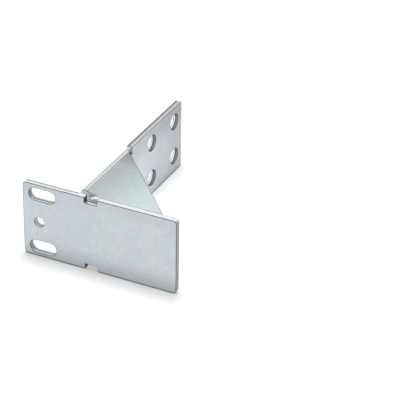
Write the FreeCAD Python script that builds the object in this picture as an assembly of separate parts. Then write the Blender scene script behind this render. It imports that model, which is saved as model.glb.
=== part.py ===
import FreeCAD, Part

import os

# Rack mount ear bracket, the one for the left end of a 1U panel.
#
# A flat front plate with two rack slots carries a side flange on its back. The flange is a
# sheet that is folded over at the top into a level triangular web, which braces the flange
# against the back of the plate. The seams are closed, so the bracket is one solid.
#
# Working frame: X runs along the front plate from its slotted end, Y runs back from the front
# face and Z runs up from the bottom edge. The last step moves the origin to the middle of the
# foot of the bracket. All sizes are in millimetres.

# Sheet
SHEET = 3.2
BEND_INSIDE_RADIUS = 3.0

# Front plate
PLATE_WIDTH = 90.0
PLATE_HEIGHT = 43.7
PLATE_CORNER_RADIUS = 2.0

# Rack slots and the round hole between them
SLOT_PITCH = 31.75
SLOT_LENGTH = 15.8
SLOT_WIDTH = 7.3
SLOT_CENTRE_X = 11.5
HOLE_DIAMETER = 5.8
HOLE_CENTRE_X = 9.5
HOLE_DROP = 0.7

# Notches in the top and bottom edges of the plate
NOTCH_START_X = 36.7
NOTCH_WIDTH = 7.4
NOTCH_DEPTH = 3.3
NOTCH_CORNER_RADIUS = 0.8

# Side flange
FLANGE_OUTSIDE_X = 29.0
FLANGE_REACH = 122.0
FLANGE_TOP_DROP = 2.1
FLANGE_CORNER_RADIUS = 1.2

# Device holes in the flange
DEVICE_HOLE_DIAMETER = 9.4
DEVICE_HOLE_PITCH_Y = 27.6
DEVICE_HOLE_PITCH_Z = 22.0
DEVICE_HOLE_TO_END = 9.0
DEVICE_HOLE_DROP = 0.4

# Triangular web
WEB_LEG_ON_PLATE = 51.9
WEB_LEG_ON_FLANGE = 56.7
RELIEF_GAP = 2.0

# Relief of the corner between plate, flange and web
CORNER_RELIEF_GAP = 0.6
CORNER_RELIEF_RUN = 2.1
CORNER_RELIEF_DEPTH = 6.2
WEB_CORNER_RUN = 5.3

# Groove along the seam between the plate and the web
SEAM_WIDTH = 0.5
SEAM_DEPTH = 0.4

# Derived sizes
bend_outside_radius = BEND_INSIDE_RADIUS + SHEET
flange_inside_x = FLANGE_OUTSIDE_X + SHEET
mid_height = PLATE_HEIGHT / 2
fold_line_z = PLATE_HEIGHT - bend_outside_radius
flange_top_z = PLATE_HEIGHT - FLANGE_TOP_DROP
web_end_x = FLANGE_OUTSIDE_X + WEB_LEG_ON_PLATE
web_end_y = SHEET + WEB_LEG_ON_FLANGE
web_start_x = NOTCH_START_X + CORNER_RELIEF_GAP
overshoot = 1.0


def vec(x, y, z):
    return FreeCAD.Vector(x, y, z)


def prism(points, direction):
    """Extrude a closed polygon along a vector."""
    wire = Part.makePolygon(points + [points[0]])
    return Part.Face(wire).extrude(direction)


def rounded_plate_blank():
    """Return the front plate, with its four corners rounded."""
    plate = Part.makeBox(PLATE_WIDTH, SHEET, PLATE_HEIGHT)
    corners = [
        edge for edge in plate.Edges
        if abs(edge.tangentAt(edge.FirstParameter).y) > 0.99
    ]
    return plate.makeFillet(PLATE_CORNER_RADIUS, corners)


def through_hole_y(diameter, x, z):
    start = vec(x, -overshoot, z)
    return Part.makeCylinder(diameter / 2, SHEET + 2 * overshoot, start, vec(0, 1, 0))


def rack_slot(centre_z):
    """Return the cutter of one obround slot that runs along X."""
    half_run = (SLOT_LENGTH - SLOT_WIDTH) / 2
    left = through_hole_y(SLOT_WIDTH, SLOT_CENTRE_X - half_run, centre_z)
    right = through_hole_y(SLOT_WIDTH, SLOT_CENTRE_X + half_run, centre_z)
    middle = Part.makeBox(
        2 * half_run,
        SHEET + 2 * overshoot,
        SLOT_WIDTH,
        vec(SLOT_CENTRE_X - half_run, -overshoot, centre_z - SLOT_WIDTH / 2),
    )
    return left.fuse([right, middle])


def edge_notch(edge_z, inward):
    """Return the cutter of one notch, whose mouth flares round at both corners."""
    left_x = NOTCH_START_X
    right_x = NOTCH_START_X + NOTCH_WIDTH
    radius = NOTCH_CORNER_RADIUS
    outside_z = edge_z - inward * overshoot
    depth = NOTCH_DEPTH + overshoot
    low_z = min(outside_z, outside_z + inward * depth)
    run = SHEET + 2 * overshoot
    cutter = Part.makeBox(NOTCH_WIDTH, run, depth, vec(left_x, -overshoot, low_z))
    for corner_x, side in ((left_x, -1), (right_x, 1)):
        centre = vec(corner_x + side * radius, -overshoot, edge_z + inward * radius)
        square_x = min(corner_x, centre.x)
        square_z = min(outside_z, centre.z)
        square = Part.makeBox(
            radius, run, radius + overshoot, vec(square_x, -overshoot, square_z)
        )
        round_corner = Part.makeCylinder(radius, run, centre, vec(0, 1, 0))
        cutter = cutter.fuse(square.cut(round_corner))
    return cutter


def front_plate():
    plate = rounded_plate_blank()
    cutters = [
        rack_slot(mid_height + SLOT_PITCH / 2),
        rack_slot(mid_height - SLOT_PITCH / 2),
        through_hole_y(HOLE_DIAMETER, HOLE_CENTRE_X, mid_height - HOLE_DROP),
        edge_notch(PLATE_HEIGHT, -1),
        edge_notch(0.0, 1),
    ]
    return plate.cut(cutters)


def folded_section():
    """Return the section of flange, bend and web as a face on the back of the plate."""
    bend_x = FLANGE_OUTSIDE_X + bend_outside_radius
    slant = 2 ** 0.5 / 2
    web_underside_z = PLATE_HEIGHT - SHEET

    def at(x, z):
        return vec(x, SHEET, z)

    def on_bend(radius):
        return at(bend_x - radius * slant, fold_line_z + radius * slant)

    edges = [
        Part.makeLine(at(FLANGE_OUTSIDE_X, 0), at(FLANGE_OUTSIDE_X, fold_line_z)),
        Part.Arc(
            at(FLANGE_OUTSIDE_X, fold_line_z),
            on_bend(bend_outside_radius),
            at(bend_x, PLATE_HEIGHT),
        ).toShape(),
        Part.makeLine(at(bend_x, PLATE_HEIGHT), at(web_end_x, PLATE_HEIGHT)),
        Part.makeLine(at(web_end_x, PLATE_HEIGHT), at(web_end_x, web_underside_z)),
        Part.makeLine(at(web_end_x, web_underside_z), at(bend_x, web_underside_z)),
        Part.Arc(
            at(bend_x, web_underside_z),
            on_bend(BEND_INSIDE_RADIUS),
            at(flange_inside_x, fold_line_z),
        ).toShape(),
        Part.makeLine(at(flange_inside_x, fold_line_z), at(flange_inside_x, 0)),
        Part.makeLine(at(flange_inside_x, 0), at(FLANGE_OUTSIDE_X, 0)),
    ]
    return Part.Face(Part.Wire(edges))


def beyond_web():
    """Return the cutter that trims the fold along the sloping free edge of the web."""
    far_x = web_end_x + overshoot
    far_y = FLANGE_REACH + overshoot
    slope = WEB_LEG_ON_FLANGE / WEB_LEG_ON_PLATE
    near_x = FLANGE_OUTSIDE_X - overshoot
    points = [
        vec(far_x, SHEET - slope * overshoot, fold_line_z),
        vec(far_x, far_y, fold_line_z),
        vec(near_x, far_y, fold_line_z),
        vec(near_x, web_end_y + slope * overshoot, fold_line_z),
    ]
    return prism(points, vec(0, 0, bend_outside_radius + overshoot))


def corner_relief():
    """Return the cutter that opens the corner between the fold and the plate.

    It starts a narrow gap inside the notch, runs straight back and then slants across the bend.
    """
    run_end_y = SHEET + CORNER_RELIEF_RUN
    flange_y = SHEET + CORNER_RELIEF_DEPTH
    slope = (flange_y - run_end_y) / (web_start_x - FLANGE_OUTSIDE_X)
    near_x = FLANGE_OUTSIDE_X - overshoot
    points = [
        vec(near_x, SHEET, fold_line_z),
        vec(web_start_x, SHEET, fold_line_z),
        vec(web_start_x, run_end_y, fold_line_z),
        vec(near_x, flange_y + slope * overshoot, fold_line_z),
    ]
    return prism(points, vec(0, 0, bend_outside_radius + overshoot))


def web_corner_round():
    """Return the cutter that rounds down the web's corner beside the notch, like the bend."""
    radius = bend_outside_radius
    centre = vec(web_start_x + WEB_CORNER_RUN, SHEET, fold_line_z)
    corner = vec(web_start_x - overshoot, SHEET, fold_line_z)
    side = WEB_CORNER_RUN + overshoot
    square = Part.makeBox(side, CORNER_RELIEF_RUN, radius + overshoot, corner)
    return square.cut(Part.makeCylinder(radius, CORNER_RELIEF_RUN, centre, vec(0, 1, 0)))


def seam_groove():
    """Return the cutter of the shallow groove where the web's front edge meets the plate."""
    points = [
        vec(web_start_x, SHEET - SEAM_WIDTH / 2, PLATE_HEIGHT),
        vec(web_start_x, SHEET + SEAM_WIDTH / 2, PLATE_HEIGHT),
        vec(web_start_x, SHEET, PLATE_HEIGHT - SEAM_DEPTH),
    ]
    return prism(points, vec(web_end_x - web_start_x, 0, 0))


def free_flange():
    """Return the part of the flange above the fold line that stands behind the web."""
    start_y = web_end_y + RELIEF_GAP
    return Part.makeBox(
        SHEET,
        FLANGE_REACH - start_y,
        flange_top_z - fold_line_z,
        vec(FLANGE_OUTSIDE_X, start_y, fold_line_z),
    )


def round_far_corners(flange):
    """Round the two corners at the far end of the flange."""
    corners = []
    for edge in flange.Edges:
        middle = edge.CenterOfMass
        along_x = abs(edge.tangentAt(edge.FirstParameter).x) > 0.99
        at_end = abs(middle.y - FLANGE_REACH) < 0.01
        if along_x and at_end:
            corners.append(edge)
    return flange.makeFillet(FLANGE_CORNER_RADIUS, corners)


def device_holes():
    """Return the cutters of the four holes in the flange."""
    run = SHEET + 2 * overshoot
    holes = []
    for row in (-1, 1):
        for column in (0, 1):
            start = vec(
                FLANGE_OUTSIDE_X - overshoot,
                FLANGE_REACH - DEVICE_HOLE_TO_END - column * DEVICE_HOLE_PITCH_Y,
                mid_height - DEVICE_HOLE_DROP + row * DEVICE_HOLE_PITCH_Z / 2,
            )
            holes.append(Part.makeCylinder(DEVICE_HOLE_DIAMETER / 2, run, start, vec(1, 0, 0)))
    return holes


def folded_side():
    """Return the flange and its web, folded from one sheet."""
    side = folded_section().extrude(vec(0, FLANGE_REACH - SHEET, 0))
    side = side.cut([beyond_web(), corner_relief(), web_corner_round()])
    side = side.fuse(free_flange()).removeSplitter()
    side = round_far_corners(side)
    return side.cut(device_holes())


bracket = front_plate().fuse(folded_side()).removeSplitter().cut(seam_groove())
bracket.translate(vec(-PLATE_WIDTH / 2, -FLANGE_REACH / 2, 0))

os.makedirs("parts", exist_ok=True)
solids = bracket.Solids
solids[0].exportStep("parts/ear_bracket.step")
box = solids[0].BoundBox
print("solids", len(solids), "valid", solids[0].isValid())
print("size %.2f x %.2f x %.2f" % (box.XLength, box.YLength, box.ZLength))
print("volume %.1f mm3" % solids[0].Volume)
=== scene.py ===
# %% [markdown]
# # A rack mount ear bracket
#
# The bracket holds one end of a 1U panel in a server rack. It is steel sheet, about 3 mm thick,
# with a satin zinc finish: a flat front plate with two slots, a long side flange with four
# holes, and a level triangular web that is folded over from the flange's top.
#
# The solid model already has the right shape, so this lesson loads it as it is and works on
# what a solid model lacks: soft edges, the plated finish, the light and the camera.

import math

import bmesh
import bpy
from mathutils import Matrix, Vector


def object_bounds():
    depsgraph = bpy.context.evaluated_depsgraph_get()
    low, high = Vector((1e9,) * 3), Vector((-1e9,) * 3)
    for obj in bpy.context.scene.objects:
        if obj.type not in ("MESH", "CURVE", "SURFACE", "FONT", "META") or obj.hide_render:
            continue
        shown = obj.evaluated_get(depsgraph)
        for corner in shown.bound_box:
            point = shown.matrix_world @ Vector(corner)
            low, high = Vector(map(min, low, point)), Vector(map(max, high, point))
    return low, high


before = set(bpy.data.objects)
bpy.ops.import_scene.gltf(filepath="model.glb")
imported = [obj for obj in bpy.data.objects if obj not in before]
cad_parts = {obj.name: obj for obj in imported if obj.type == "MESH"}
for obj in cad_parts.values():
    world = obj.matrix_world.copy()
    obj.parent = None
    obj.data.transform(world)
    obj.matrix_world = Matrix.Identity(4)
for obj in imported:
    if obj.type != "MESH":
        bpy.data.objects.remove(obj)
cad_box = [list(corner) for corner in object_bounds()]
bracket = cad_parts["ear_bracket"]
low, high = (Vector(corner) for corner in cad_box)
print("Size in mm:", [round(1000 * side, 2) for side in high - low])

# %% [markdown]
# ## Sizes
#
# Blender works in metres and a drawing in millimetres, so each length here is a number times
# MM. Places are counted from the low corner of the bounding box, which is the lower front
# corner of the plate. They could be read from the mesh, but the numbers of a drawing are
# shorter and easier to check. The finish uses them to tell plate, flange, fold and web apart.

# %% Name the sizes of the sheet
MM = 0.001
SHEET = 3.2 * MM
BEND_OUTSIDE = 6.2 * MM
PLATE_BACK_Y = low.y + SHEET
FLANGE_OUTSIDE_X = low.x + 29.0 * MM
FLANGE_INSIDE_X = FLANGE_OUTSIDE_X + SHEET
FOLD_Z = high.z - BEND_OUTSIDE
WEB_END_Y = low.y + 59.9 * MM
print("The flange stands at x =", round(1000 * FLANGE_OUTSIDE_X, 2), "mm")

# %% [markdown]
# ## Calculating with nodes
#
# The choice of edges and the finish are both networks of nodes. They could be wired by hand in
# the node editor. In a script, small helpers are shorter: each one adds a node, feeds it and
# returns its result, so that a network reads almost like a sum on paper. Many results are
# masks, which are 1 where something is so and 0 where it isn't.

# %% Helpers that calculate
def feed(tree, value, socket):
    """Link a socket to another one, or write a plain number or colour into it."""
    if isinstance(value, bpy.types.NodeSocket):
        tree.links.new(value, socket)
    else:
        socket.default_value = value


def calculate(tree, operation, first, second=0.0, clamp=False):
    """Add a Math node and return its result."""
    node = tree.nodes.new("ShaderNodeMath")
    node.operation = operation
    node.use_clamp = clamp
    feed(tree, first, node.inputs[0])
    feed(tree, second, node.inputs[1])
    return node.outputs[0]


def multiply(tree, first, *others):
    """Multiply any number of values. For masks, this means that all of them must be so."""
    for other in others:
        first = calculate(tree, "MULTIPLY", first, other)
    return first


print("Numbers and sockets can be fed to a node alike")

# %% Helpers that compare and split
def above(tree, value, limit):
    """Return a mask of where a value is greater than a limit."""
    return calculate(tree, "GREATER_THAN", value, limit)


def below(tree, value, limit):
    """Return a mask of where a value is less than a limit."""
    return calculate(tree, "LESS_THAN", value, limit)


def split(tree, vector):
    """Split a vector into its three numbers."""
    node = tree.nodes.new("ShaderNodeSeparateXYZ")
    feed(tree, vector, node.inputs[0])
    return node.outputs


print("Masks can be made from a place or an angle")

# %% [markdown]
# ## Soft edges
#
# No sheet metal part has a perfectly sharp edge: punching rolls it over a little and the plating
# rounds it further. That narrow round catches the light and draws each outline. It could be
# built into the solid, but modifiers do it here and leave the mesh itself as it was. The solid
# comes as loose triangles, so a Weld modifier joins them first, and a Decimate modifier in its
# planar mode takes out the needless lines inside flat faces.

# %% Join the triangles and clean the flat faces
weld = bracket.modifiers.new("Join the triangles", "WELD")
weld.merge_threshold = 0.002 * MM

clean = bracket.modifiers.new("Clean the flat faces", "DECIMATE")
clean.decimate_type = "DISSOLVE"
clean.angle_limit = math.radians(0.5)


def count_faces():
    """Return how many faces the bracket has once its modifiers have run."""
    shown = bracket.evaluated_get(bpy.context.evaluated_depsgraph_get())
    faces = len(shown.to_mesh().polygons)
    shown.to_mesh_clear()
    return faces


print("Faces before and after:", len(bracket.data.polygons), count_faces())

# %% [markdown]
# Not every edge can be rounded. The seam between plate and web, and the relief cut at the web's
# corner, are hardly wider than the round itself, and rounding them throws spikes. A limit by
# angle can't leave them out, so a small Geometry Nodes tree does: it gives a bevel weight to
# every sharp edge outside the box around that corner.

# %% Choose the edges to round
SHARP_ANGLE = math.radians(50)
SEAM_START_X = low.x + 36.0 * MM
SEAM_END_X = low.x + 81.2 * MM
SEAM_FRONT_Y = low.y + 2.6 * MM
SEAM_BACK_Y = low.y + 5.8 * MM
SEAM_FOOT_Z = low.z + 36.0 * MM

choose_edges = bpy.data.node_groups.new("choose_edges", "GeometryNodeTree")
choose_edges.interface.new_socket("Mesh", in_out="INPUT", socket_type="NodeSocketGeometry")
choose_edges.interface.new_socket("Mesh", in_out="OUTPUT", socket_type="NodeSocketGeometry")
group_in = choose_edges.nodes.new("NodeGroupInput")
group_out = choose_edges.nodes.new("NodeGroupOutput")
edge_angle = choose_edges.nodes.new("GeometryNodeInputMeshEdgeAngle").outputs["Unsigned Angle"]
edge_place = choose_edges.nodes.new("GeometryNodeInputPosition").outputs[0]
edge_x, edge_y, edge_z = split(choose_edges, edge_place)

in_seam_corner = multiply(
    choose_edges,
    above(choose_edges, edge_x, SEAM_START_X),
    below(choose_edges, edge_x, SEAM_END_X),
    above(choose_edges, edge_y, SEAM_FRONT_Y),
    below(choose_edges, edge_y, SEAM_BACK_Y),
    above(choose_edges, edge_z, SEAM_FOOT_Z),
)
bevel_weight = multiply(
    choose_edges,
    above(choose_edges, edge_angle, SHARP_ANGLE),
    calculate(choose_edges, "SUBTRACT", 1.0, in_seam_corner),
)
print("Nodes that choose the edges:", len(choose_edges.nodes))

# %% [markdown]
# The same tree settles how light falls across each edge. The triangles came with normals of
# their own, which no longer fit, so they are dropped. Then the fold and the hole walls, which
# are chains of gentle edges, are made smooth, and real edges stay sharp.

# %% Smooth the gentle edges and write the weights
GENTLE_ANGLE = math.radians(25)

drop_normals = choose_edges.nodes.new("GeometryNodeRemoveAttribute")
drop_normals.inputs["Name"].default_value = "custom_normal"
feed(choose_edges, group_in.outputs[0], drop_normals.inputs["Geometry"])

smooth_faces = choose_edges.nodes.new("GeometryNodeSetShadeSmooth")
smooth_faces.domain = "FACE"
feed(choose_edges, drop_normals.outputs[0], smooth_faces.inputs["Geometry"])

smooth_bends = choose_edges.nodes.new("GeometryNodeSetShadeSmooth")
smooth_bends.domain = "EDGE"
is_gentle = below(choose_edges, edge_angle, GENTLE_ANGLE)
feed(choose_edges, smooth_faces.outputs[0], smooth_bends.inputs["Geometry"])
feed(choose_edges, is_gentle, smooth_bends.inputs["Shade Smooth"])

write_weight = choose_edges.nodes.new("GeometryNodeStoreNamedAttribute")
write_weight.data_type = "FLOAT"
write_weight.domain = "EDGE"
write_weight.inputs["Name"].default_value = "bevel_weight_edge"
feed(choose_edges, smooth_bends.outputs[0], write_weight.inputs["Geometry"])
feed(choose_edges, bevel_weight, write_weight.inputs["Value"])
feed(choose_edges, write_weight.outputs[0], group_out.inputs[0])
bracket.modifiers.new("Choose the edges", "NODES").node_group = choose_edges
print("Links in the tree:", len(choose_edges.links))

# %% [markdown]
# The Bevel modifier rounds the chosen edges and gives its new faces the second material slot,
# so that the edges get their own dark colour, a painted reflection. Weighted normals come last:
# they let the large flat faces decide how the light falls, so that only the narrow rounds look
# curved.

# %% Round the chosen edges
EDGE_ROUND = 0.2 * MM
EDGE_SLOT = 1

round_edges = bracket.modifiers.new("Round the edges", "BEVEL")
round_edges.width = EDGE_ROUND
round_edges.segments = 2
round_edges.limit_method = "WEIGHT"
round_edges.use_clamp_overlap = False
round_edges.loop_slide = False
round_edges.miter_outer = "MITER_ARC"
round_edges.material = EDGE_SLOT

flat_first = bracket.modifiers.new("Let flat faces lead", "WEIGHTED_NORMAL")
flat_first.keep_sharp = True
flat_first.weight = 100
print("Faces with rounded edges:", count_faces())

# %% [markdown]
# ## The zinc finish
#
# Zinc plating is a metal skin, so its shader is fully metallic. It isn't a mirror: the rolled
# sheet under it blurs every reflection. Its colour is a pale, slightly blue grey with faint
# clouds of cooler and warmer grey. A picture of zinc could be wrapped around the bracket, but
# calculated patterns need no seams and stay sharp from close by.

# %% [markdown]
# The colour differs from part to part of the bracket, though it is all one piece, and much of
# that difference is painted shade and painted highlight. Each part could be marked on the mesh,
# but the modifiers would have to carry the marks along. Here the material finds the parts
# itself: Object coordinates give the place in metres, the same numbers as the sizes above, and
# the Geometry node gives the direction that a face looks in.

# %% Start the zinc material
def new_material(name):
    """Make a material with a node tree and return it with its shader."""
    material = bpy.data.materials.new(name)
    material.use_nodes = True
    return material, material.node_tree.nodes["Principled BSDF"]


zinc, zinc_shader = new_material("zinc_plating")
tree = zinc.node_tree
print("Nodes to begin with:", [node.name for node in tree.nodes])

# %% Find the plate, the flange and the web
place = tree.nodes.new("ShaderNodeTexCoord").outputs["Object"]
place_x, place_y, place_z = split(tree, place)
normal = tree.nodes.new("ShaderNodeNewGeometry").outputs["True Normal"]
normal_x, normal_y, normal_z = split(tree, normal)
flat_x = calculate(tree, "ABSOLUTE", normal_x)
flat_y = calculate(tree, "ABSOLUTE", normal_y)

on_plate = below(tree, place_y, PLATE_BACK_Y + 0.05 * MM)
on_fold = calculate(tree, "SUBTRACT", 1.0, on_plate)
on_level = above(tree, place_z, FOLD_Z)
before_web_end = below(tree, place_y, WEB_END_Y + 0.5 * MM)
on_web = multiply(tree, on_fold, on_level, before_web_end)
on_flange = calculate(tree, "SUBTRACT", on_fold, on_web, clamp=True)
print("Masks for plate, flange and web use", len(tree.nodes), "nodes")

# %% [markdown]
# ### Cut edges
#
# A punch and die cut the sheet's outline, its slots and its holes, and a cut edge looks unlike
# a rolled face. On the plate, a face that doesn't look forwards or back is a cut edge. On the
# flange it is one that doesn't look along X, and on the web one that looks towards the free
# side.

# %% Find the cut edges
def largest(tree, first, *others):
    """Return the largest of any number of values. For masks, one that is so is enough."""
    for other in others:
        first = calculate(tree, "MAXIMUM", first, other)
    return first


plate_cut = multiply(tree, on_plate, below(tree, flat_y, 0.6))
flange_cut = multiply(tree, on_flange, below(tree, flat_x, 0.6))
web_cut = multiply(tree, on_web, above(tree, flat_y, 0.3))
cut_edge = largest(tree, plate_cut, flange_cut, web_cut)
print("Cut edges are found by place and direction")

# %% [markdown]
# How such an edge looks depends on how deep in the sheet a point lies, and on whether the edge
# looks up into the light. The depths are plain subtractions. The step from one look to the next
# should be soft, so a Map Range node set to a smooth step makes it.

# %% Measure the depth in the sheet
def ramp(tree, value, start, end, low_result=0.0, high_result=1.0):
    """Turn a value that runs from start to end into a smooth step between two results."""
    node = tree.nodes.new("ShaderNodeMapRange")
    node.interpolation_type = "SMOOTHSTEP"
    feed(tree, value, node.inputs["Value"])
    node.inputs["From Min"].default_value = start
    node.inputs["From Max"].default_value = end
    node.inputs["To Min"].default_value = low_result
    node.inputs["To Max"].default_value = high_result
    return node.outputs["Result"]


plate_depth = calculate(tree, "SUBTRACT", place_y, low.y)
flange_depth = calculate(tree, "SUBTRACT", FLANGE_INSIDE_X, place_x)
looks_up = ramp(tree, normal_z, 0.55, 0.95)
print("Depths run from 0 to", round(1000 * SHEET, 1), "mm")

# %% [markdown]
# The punch shears the first part of the thickness, which stays smooth and bright, and the rest
# tears and is dull. A dark crease divides the two inside the slots and the top notch, and the
# rim on the flange's outer side is dark as well. All of it depends only on the depth below one
# face of the sheet, so smooth steps over that depth draw it.

# %% Colour the cut edges that look up
CUT_BRIGHT = (0.91, 0.94, 0.96, 1.0)
CUT_TORN = (0.53, 0.555, 0.57, 1.0)


def mix_colour(tree, factor, first, second):
    """Blend two colours and return the result."""
    node = tree.nodes.new("ShaderNodeMix")
    node.data_type = "RGBA"
    feed(tree, factor, node.inputs[0])
    feed(tree, first, node.inputs[6])
    feed(tree, second, node.inputs[7])
    return node.outputs[2]


torn_plate = multiply(
    tree,
    ramp(tree, plate_depth, 1.2 * MM, 2.2 * MM),
    on_plate,
    below(tree, place_x, FLANGE_INSIDE_X),
)
torn_flange = multiply(tree, on_flange, ramp(tree, flange_depth, 0.6 * MM, 1.2 * MM))
torn = largest(tree, torn_plate, torn_flange)
cut_top = mix_colour(tree, torn, CUT_BRIGHT, CUT_TORN)
print("Edges that look up are bright, and torn behind that")

# %% Draw the creases
CUT_CREASE = (0.12, 0.125, 0.13, 1.0)
SLOT_CREASE_DEPTH = 1.5 * MM
NOTCH_CREASE_EXTRA = 0.8 * MM
SLOTTED_END_X = low.x + 30 * MM


def apart(tree, first, second):
    """Return how far two values are apart."""
    return calculate(tree, "ABSOLUTE", calculate(tree, "SUBTRACT", first, second))


inside_plate = multiply(tree, on_plate, below(tree, place_z, high.z - 1 * MM))
at_notch = above(tree, place_x, SLOTTED_END_X)
notch_extra = multiply(tree, at_notch, NOTCH_CREASE_EXTRA)
crease_depth = calculate(tree, "ADD", notch_extra, SLOT_CREASE_DEPTH)
from_crease = apart(tree, plate_depth, crease_depth)
crease = multiply(tree, inside_plate, ramp(tree, from_crease, 0.2 * MM, 0.5 * MM, 1.0, 0.0))
outer_rim = multiply(tree, on_flange, ramp(tree, flange_depth, 2.0 * MM, 2.5 * MM), 0.9)
cut_top = mix_colour(tree, largest(tree, crease, outer_rim), cut_top, CUT_CREASE)
print("The slots have their crease at", round(1000 * SLOT_CREASE_DEPTH, 1), "mm of depth")

# %% [markdown]
# The upright cut edges see less light than those on top. The plate's ends and the slots' ends
# are mid grey, the round hole between the slots is paler, the walls of the notches are the
# darkest, and the end of the fold is bright. Each has its own place, so small boxes around
# those places are enough to find them.

# %% Colour the upright cut edges
CUT_SIDE = (0.41, 0.43, 0.445, 1.0)
CUT_ROUND = (0.66, 0.69, 0.71, 1.0)
CUT_FOLD = (0.84, 0.88, 0.90, 1.0)
ROUND_HOLE_X = low.x + 9.5 * MM
ROUND_HOLE_Z = low.z + 21 * MM
ROUND_HOLE_REACH = 4 * MM
NOTCH_MIDDLE_X = low.x + 40.4 * MM
NOTCH_REACH = 4.2 * MM

round_hole = multiply(
    tree,
    on_plate,
    below(tree, apart(tree, place_x, ROUND_HOLE_X), ROUND_HOLE_REACH),
    below(tree, apart(tree, place_z, ROUND_HOLE_Z), ROUND_HOLE_REACH),
)
notch_wall = multiply(
    tree,
    on_plate,
    below(tree, apart(tree, place_x, NOTCH_MIDDLE_X), NOTCH_REACH),
)
fold_end = multiply(tree, on_fold, on_level, below(tree, normal_y, -0.5))
cut_side = mix_colour(tree, round_hole, CUT_SIDE, CUT_ROUND)
cut_side = mix_colour(tree, notch_wall, cut_side, CUT_CREASE)
cut_side = mix_colour(tree, fold_end, cut_side, CUT_FOLD)
cut_colour = mix_colour(tree, looks_up, cut_side, cut_top)
print("Upright edges are coloured for hole, notch and fold")

# %% [markdown]
# The walls of the four device holes in the flange are grey near the inner face and bright near
# the outer one, with a dark crease half way through. The depth below the inner face draws all
# three, in the same way as on the slots.

# %% Colour the walls of the device holes
HOLE_GREY = (0.30, 0.315, 0.325, 1.0)
HOLE_CREASE_DEPTH = 1.6 * MM
HOLES_TOP_Z = low.z + 38 * MM

hole_wall = multiply(tree, on_flange, below(tree, place_z, HOLES_TOP_Z))
hole_bright = ramp(tree, flange_depth, 1.7 * MM, 2.0 * MM)
half_through = apart(tree, flange_depth, HOLE_CREASE_DEPTH)
hole_crease = ramp(tree, half_through, 0.2 * MM, 0.4 * MM, 1.0, 0.0)
hole_colour = mix_colour(tree, hole_bright, HOLE_GREY, CUT_BRIGHT)
hole_colour = mix_colour(tree, hole_crease, hole_colour, CUT_CREASE)
cut_colour = mix_colour(tree, hole_wall, cut_colour, hole_colour)
print("Hole walls change tone at", round(1000 * HOLE_CREASE_DEPTH, 1), "mm of depth")

# %% [markdown]
# ### Rolled faces
#
# The plated sheet is grey with large faint clouds and small specks. Three noise textures of
# different sizes make them: a single noise would look like one even grain.

# %% Mix the grey of the rolled faces
ZINC = (0.585, 0.625, 0.652, 1.0)
ZINC_COOL = (0.56, 0.605, 0.65, 1.0)
ZINC_WARM = (0.61, 0.628, 0.642, 1.0)


def noise(tree, place, scale, detail, roughness):
    """Add a noise texture and return its value."""
    node = tree.nodes.new("ShaderNodeTexNoise")
    feed(tree, place, node.inputs["Vector"])
    node.inputs["Scale"].default_value = scale
    node.inputs["Detail"].default_value = detail
    node.inputs["Roughness"].default_value = roughness
    return node.outputs[0]


clouds = ramp(tree, noise(tree, place, 70.0, 3.0, 0.55), 0.38, 0.62)
warm_clouds = ramp(tree, noise(tree, place, 130.0, 2.0, 0.5), 0.5, 0.68)
specks = ramp(tree, noise(tree, place, 420.0, 2.0, 0.6), 0.3, 0.7, 0.965, 1.035)
colour = mix_colour(tree, clouds, ZINC, ZINC_COOL)
colour = mix_colour(tree, warm_clouds, colour, ZINC_WARM)
print("Zinc grey:", ZINC[:3])

# %% [markdown]
# The plate is a little darker towards its top and bottom edges; at the foot this is painted
# shade, the floor's contact shadow mirrored in the metal. The flange is painted lighter near the
# plate and darker towards its far end and along its long edges, as painted light and shade. One
# smooth step for each direction is enough, and their product shades the face.

# %% Shade the plate
def shade(tree, colour, tone):
    """Multiply a colour by one number."""
    node = tree.nodes.new("ShaderNodeVectorMath")
    node.operation = "SCALE"
    feed(tree, colour, node.inputs[0])
    feed(tree, tone, node.inputs["Scale"])
    return node.outputs[0]


plate_head = ramp(tree, place_z, low.z + 33 * MM, high.z, 1.0, 0.94)
# Painted shade: the floor's contact shadow, mirrored near the plate's foot.
plate_foot_shade = ramp(tree, place_z, low.z + 2 * MM, low.z + 16 * MM, 0.90, 1.0)
plate_tone = multiply(tree, plate_head, plate_foot_shade)
colour = shade(tree, colour, largest(tree, on_fold, plate_tone))
print("The plate is shaded from top to bottom")

# %% Shade the flange
# Painted light and shade along the flange's length and height.
flange_length_shade = ramp(tree, place_y, low.y + 66 * MM, high.y + 4 * MM, 1.21, 0.90)
flange_foot_shade = ramp(tree, place_z, low.z + 1 * MM, low.z + 13 * MM, 0.96, 1.0)
flange_head_shade = ramp(tree, place_z, low.z + 26 * MM, low.z + 38 * MM, 1.0, 0.81)
flange_colour = shade(tree, colour, multiply(tree, flange_length_shade, flange_foot_shade, flange_head_shade))
colour = mix_colour(tree, on_flange, colour, flange_colour)
print("The flange is shaded along its length and its height")

# %% [markdown]
# The web lies level and has a greener grey. It is paler towards its free edge and darker towards
# its narrow end and the flange, as painted shade where web and flange meet. A step along a
# slanted line shades it from side to side, and a second one darkens the end.

# %% Shade the web
WEB_GREY = (0.70, 0.785, 0.795)
WEB_SLANT = 0.36

from_flange = calculate(tree, "SUBTRACT", place_x, FLANGE_OUTSIDE_X)
from_plate = calculate(tree, "SUBTRACT", place_y, PLATE_BACK_Y)
slanted = calculate(tree, "SUBTRACT", from_flange, multiply(tree, from_plate, WEB_SLANT))
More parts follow.
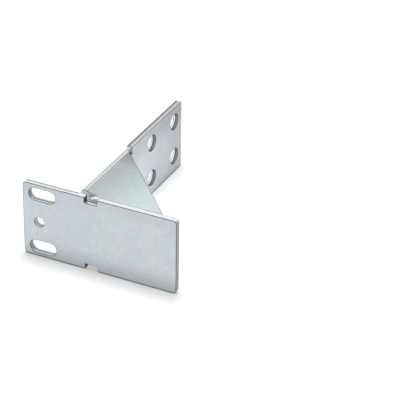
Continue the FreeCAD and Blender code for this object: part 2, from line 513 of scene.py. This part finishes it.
# Painted shade: darker near the flange and at the narrow end.
web_side = ramp(tree, slanted, -7 * MM, 39 * MM, 0.69, 1.0)
web_end = ramp(tree, from_plate, 35 * MM, 47 * MM, 1.0, 0.72)
web_colour = shade(tree, WEB_GREY, multiply(tree, web_side, web_end))
flat_web = multiply(tree, on_web, above(tree, from_flange, BEND_OUTSIDE - 0.1 * MM))
colour = mix_colour(tree, flat_web, colour, web_colour)
print("Web grey:", WEB_GREY)

# %% [markdown]
# The outside of the bend turns from the flange's side to the web's top, so light falls on it
# unevenly, and its colour carries that as painted shade and a painted highlight. It runs from
# darker on the flange's side to brighter on the web's, ends in a pale painted highlight line,
# and is a little darker again where the flat web begins. The distance from the flange's outer
# face measures all of that.

# %% Shade the fold
BEND_HIGHLIGHT_START = 3.8 * MM

on_bend = calculate(tree, "SUBTRACT", on_web, flat_web, clamp=True)
# Painted shade across the bend, and a painted highlight line near its end.
bend_shade = ramp(tree, from_flange, 0.9 * MM, 3.1 * MM, 0.62, 1.08)
bend_end_shade = ramp(tree, from_flange, 5.2 * MM, 5.6 * MM, 1.0, 0.74)
bend_highlight = multiply(
    tree,
    ramp(tree, from_flange, BEND_HIGHLIGHT_START, 4.3 * MM),
    ramp(tree, from_flange, 4.9 * MM, 5.4 * MM, 1.0, 0.0),
)
bend_colour = shade(tree, colour, multiply(tree, bend_shade, bend_end_shade))
bend_colour = mix_colour(tree, bend_highlight, bend_colour, CUT_BRIGHT)
colour = mix_colour(tree, on_bend, colour, bend_colour)
print("The fold's pale line starts", round(1000 * BEND_HIGHLIGHT_START, 1), "mm from the flange")

# %% [markdown]
# In the top notch the web's front edge shows, and its corner is rounded down like the bend. The
# rim of that round catches the light, and a painted highlight stands for it. Its distance from
# the centre of the round picks it out.

# %% Brighten the web's rounded corner
WEB_ROUND_X = low.x + 42.6 * MM
WEB_ROUND_END = 1.0 * MM

round_x = calculate(tree, "SUBTRACT", place_x, WEB_ROUND_X)
round_z = calculate(tree, "SUBTRACT", place_z, FOLD_Z)
square_x = multiply(tree, round_x, round_x)
square_z = multiply(tree, round_z, round_z)
from_centre = calculate(tree, "SQRT", calculate(tree, "ADD", square_x, square_z))
# Painted highlight on the rim of the web's rounded corner.
rim_highlight = multiply(
    tree,
    ramp(tree, from_centre, 4.9 * MM, 5.1 * MM),
    below(tree, apart(tree, place_y, PLATE_BACK_Y), 0.04 * MM),
    below(tree, normal_y, -0.5),
    below(tree, round_x, WEB_ROUND_END),
)
colour = mix_colour(tree, rim_highlight, colour, CUT_BRIGHT)
print("The round's outer radius is", round(1000 * BEND_OUTSIDE, 1), "mm")

# %% [markdown]
# ### Dark edge lines
#
# Every edge carries a thin dark line, which is painted shade and painted reflection: the narrow
# rounds mirror dark surroundings, and shade gathers in the inner corners. The lines could be
# painted one by one, but the Bevel node finds those places by itself. It gives a normal that is
# averaged over a small radius, so it leans away from the face's own normal only close to an
# edge.
# The dot product of the two is 1 on a flat face and drops towards each edge. Three places are
# left without the line: the fold's end, the notch's floor and the painted highlight on the rim.
# Along the bottom, a painted contact shadow darkens the foot.

# %% Draw the dark line along each edge
LINE_REACH = 0.9 * MM
LINE_TONE = 0.12
FOOT_SHADOW_TONE = 0.45

averaged = tree.nodes.new("ShaderNodeBevel")
averaged.samples = 8
averaged.inputs["Radius"].default_value = LINE_REACH
agreement = tree.nodes.new("ShaderNodeVectorMath")
agreement.operation = "DOT_PRODUCT"
feed(tree, averaged.outputs[0], agreement.inputs[0])
feed(tree, normal, agreement.inputs[1])
# Painted shade and reflection along each edge.
line = ramp(tree, agreement.outputs["Value"], 0.86, 0.99, LINE_TONE, 1.0)

notch_floor = multiply(tree, inside_plate, at_notch, looks_up)
unlined_end = multiply(tree, fold_end, 0.8)
unlined_floor = multiply(tree, notch_floor, 0.75)
line = largest(tree, line, unlined_end, unlined_floor, rim_highlight)
# Painted contact shadow along the bottom, where the bracket stands on the floor.
foot_shadow = ramp(tree, place_z, low.z + 0.3 * MM, low.z + 1.2 * MM, FOOT_SHADOW_TONE, 1.0)
print("Lines reach", round(1000 * LINE_REACH, 1), "mm from each edge")

# %% Put the colour on the shader
colour = mix_colour(tree, cut_edge, colour, cut_colour)
# The specks are the zinc's own grain; the edge line and the foot are painted shade.
colour = shade(tree, colour, multiply(tree, specks, line, foot_shadow))
feed(tree, colour, zinc_shader.inputs["Base Color"])
print("The colour takes", len(tree.nodes), "nodes")

# %% [markdown]
# ### Gloss and grain
#
# Rolling leaves a fine grain under the zinc. It changes the roughness a little from spot to
# spot and gives the surface a very shallow bump. Cut edges are rougher than rolled faces. The
# tint of the shader dims the reflection at a flat angle, which would otherwise turn the bend
# white.

# %% Set the metal's gloss and its fine grain
GLOSS_BEST = 0.34
GLOSS_WORST = 0.44
CUT_ROUGHNESS = 0.5

zinc_shader.inputs["Metallic"].default_value = 1.0
zinc_shader.inputs["Specular Tint"].default_value = (0.6, 0.6, 0.6, 1.0)

grain = noise(tree, place, 900.0, 2.0, 0.6)
gloss = ramp(tree, grain, 0.3, 0.7, GLOSS_BEST, GLOSS_WORST)
rough_cut = multiply(tree, cut_edge, CUT_ROUGHNESS)
feed(tree, largest(tree, gloss, rough_cut), zinc_shader.inputs["Roughness"])

bump = tree.nodes.new("ShaderNodeBump")
bump.inputs["Strength"].default_value = 0.06
bump.inputs["Distance"].default_value = 0.1 * MM
feed(tree, grain, bump.inputs["Height"])
feed(tree, bump.outputs[0], zinc_shader.inputs["Normal"])
print("Roughness:", GLOSS_BEST, "to", GLOSS_WORST, "and", CUT_ROUGHNESS, "on cut edges")

# %% [markdown]
# ### The rounded edges
#
# The rounds that the Bevel modifier made are the darkest part of each line, a painted reflection
# of the dark surroundings that such narrow rounds mirror. They are as smooth as the faces, and
# their tone wanders between two dark greys, so that no outline looks drawn with a ruler.

# %% Paint the rounded edges dark
EDGE_DARK = (0.08, 0.085, 0.09, 1.0)
EDGE_PALE = (0.14, 0.148, 0.152, 1.0)

dark_edge, dark_edge_shader = new_material("painted_dark_edge_zinc")
tree = dark_edge.node_tree
place = tree.nodes.new("ShaderNodeTexCoord").outputs["Object"]
# Painted reflection: the rounds get a dark grey that stands for the dark surroundings they
# mirror.
edge_wander = ramp(tree, noise(tree, place, 140.0, 3.0, 0.6), 0.35, 0.65)
feed(tree, mix_colour(tree, edge_wander, EDGE_DARK, EDGE_PALE), dark_edge_shader.inputs["Base Color"])
dark_edge_shader.inputs["Metallic"].default_value = 1.0
dark_edge_shader.inputs["Specular Tint"].default_value = (0.4, 0.4, 0.4, 1.0)
dark_edge_shader.inputs["Roughness"].default_value = 0.35
print("Edge greys:", EDGE_DARK[:3], EDGE_PALE[:3])

# %% Give the bracket its two materials
bracket.data.materials.clear()
bracket.data.materials.append(zinc)
bracket.data.materials.append(dark_edge)
print("Materials:", [material.name for material in bracket.data.materials])

# %% [markdown]
# ## The floor
#
# The photograph is a product shot on pure white, with only a soft shadow at the bracket's foot.
# The floor is a large pale sheet. Brighter lamps would make it white, but would also bleach the
# metal. Instead the floor glows a little for the camera and for reflections alone, so that it
# melts into the white background, keeps its shadow and sheds no extra light.

# %% Lay the floor
FLOOR_SIZE = 6.0
FLOOR_DROP = 0.05 * MM

floor_mesh = bpy.data.meshes.new("floor")
shape = bmesh.new()
bmesh.ops.create_grid(shape, x_segments=1, y_segments=1, size=FLOOR_SIZE / 2)
bmesh.ops.translate(shape, verts=shape.verts, vec=(0, 0, low.z - FLOOR_DROP))
shape.to_mesh(floor_mesh)
shape.free()
floor = bpy.data.objects.new("floor", floor_mesh)
bpy.context.scene.collection.objects.link(floor)
print("Floor of", FLOOR_SIZE, "m laid at z =", round(1000 * low.z, 2), "mm")

# %% Give the floor its white
FLOOR_LIFT = 0.30


def seen_directly(tree):
    """Return 1 for rays of the camera, of a reflection or through glass, and 0 for the rest."""
    ray = tree.nodes.new("ShaderNodeLightPath")
    return largest(
        tree,
        ray.outputs["Is Camera Ray"],
        ray.outputs["Is Glossy Ray"],
        ray.outputs["Is Transmission Ray"],
    )


paper, paper_shader = new_material("white_paper")
tree = paper.node_tree
paper_shader.inputs["Base Color"].default_value = (0.8, 0.8, 0.8, 1)
paper_shader.inputs["Roughness"].default_value = 0.9
paper_shader.inputs["Specular IOR Level"].default_value = 0.0
lift = tree.nodes.new("ShaderNodeEmission")
feed(tree, multiply(tree, seen_directly(tree), FLOOR_LIFT), lift.inputs["Strength"])
both = tree.nodes.new("ShaderNodeAddShader")
feed(tree, paper_shader.outputs[0], both.inputs[0])
feed(tree, lift.outputs[0], both.inputs[1])
feed(tree, both.outputs[0], tree.nodes["Material Output"].inputs["Surface"])
floor_mesh.materials.append(paper)
print("The floor glows by", FLOOR_LIFT, "where it is seen")

# %% [markdown]
# ## Light
#
# A white studio lights the bracket from everywhere. The world is plain white where the camera
# or a reflection sees it, and half as strong for the light that it sheds, so that the one lamp
# still makes a shadow.

# %% Light the room
WORLD_STRENGTH = 0.5

world = bpy.data.worlds.new("white_room")
bpy.context.scene.world = world
world.use_nodes = True
tree = world.node_tree
ambient = tree.nodes["Background"]
ambient.inputs["Color"].default_value = (1, 1, 1, 1)
ambient.inputs["Strength"].default_value = WORLD_STRENGTH
white = tree.nodes.new("ShaderNodeBackground")
white.inputs["Color"].default_value = (1, 1, 1, 1)
choose = tree.nodes.new("ShaderNodeMixShader")
feed(tree, seen_directly(tree), choose.inputs[0])
feed(tree, ambient.outputs[0], choose.inputs[1])
feed(tree, white.outputs[0], choose.inputs[2])
feed(tree, choose.outputs[0], tree.nodes["World Output"].inputs["Surface"])
print("The room sheds light of strength", WORLD_STRENGTH)

# %% [markdown]
# One large soft lamp hangs almost straight above, a little behind and to the left, so that the
# shadow is a narrow soft band at the bracket's foot. The metal would mirror it as a glaring
# patch on its top faces, so the lamp is hidden from reflections.

# %% Hang the lamp
LAMP_PLACE = Vector((-0.07, 0.13, 1.2))
LAMP_SIZE = 0.34
LAMP_POWER = 7.5

lamp_data = bpy.data.lights.new("softbox", "AREA")
lamp_data.shape = "SQUARE"
lamp_data.size = LAMP_SIZE
lamp_data.energy = LAMP_POWER
lamp = bpy.data.objects.new("softbox", lamp_data)
bpy.context.scene.collection.objects.link(lamp)
lamp.location = LAMP_PLACE
lamp.visible_glossy = False
lamp.rotation_mode = "QUATERNION"
lamp.rotation_quaternion = (-LAMP_PLACE).to_track_quat("-Z", "Y")
print("Softbox at", [round(value, 2) for value in LAMP_PLACE])

# %% [markdown]
# ## The camera
#
# The photograph was taken with a long lens from the front, turned about 25 degrees to the right
# and looking down about 31 degrees. The lens and the distance come from matching the bracket's
# long edges to the photograph. The bracket stands left of the picture's middle. A shifted lens
# could put it there, but the camera looks past it by a little instead, which keeps the other
# views centred.

# %% Place the camera
CAMERA_YAW = math.radians(25.52)
CAMERA_PITCH = math.radians(30.60)
CAMERA_ROLL = math.radians(0.91)
CAMERA_DISTANCE = 1082.0 * MM
LENS_PIXELS = 2040.1
PICTURE_PIXELS = 400
SENSOR = 36.0
LOOKS_PAST_RIGHT = 38.52 * MM
LOOKS_PAST_UP = 5.93 * MM
AIM = low + Vector((46.0, 30.0, 22.0)) * MM

back = Vector((
    math.sin(CAMERA_YAW) * math.cos(CAMERA_PITCH),
    -math.cos(CAMERA_YAW) * math.cos(CAMERA_PITCH),
    math.sin(CAMERA_PITCH),
))
level_right = Vector((math.cos(CAMERA_YAW), math.sin(CAMERA_YAW), 0))
level_up = back.cross(level_right)
right = level_right * math.cos(CAMERA_ROLL) + level_up * math.sin(CAMERA_ROLL)
up = -level_right * math.sin(CAMERA_ROLL) + level_up * math.cos(CAMERA_ROLL)

camera_data = bpy.data.cameras.new("camera")
camera_data.sensor_width = SENSOR
camera_data.lens = SENSOR * LENS_PIXELS / PICTURE_PIXELS
camera = bpy.data.objects.new("camera", camera_data)
bpy.context.scene.collection.objects.link(camera)
camera.location = AIM + back * CAMERA_DISTANCE + right * LOOKS_PAST_RIGHT + up * LOOKS_PAST_UP
camera.rotation_mode = "QUATERNION"
camera.rotation_quaternion = Matrix((right, up, back)).transposed().to_quaternion()
bpy.context.scene.camera = camera
bpy.context.scene.view_settings.view_transform = "Standard"
print("Camera at", [round(1000 * value) for value in camera.location], "mm")
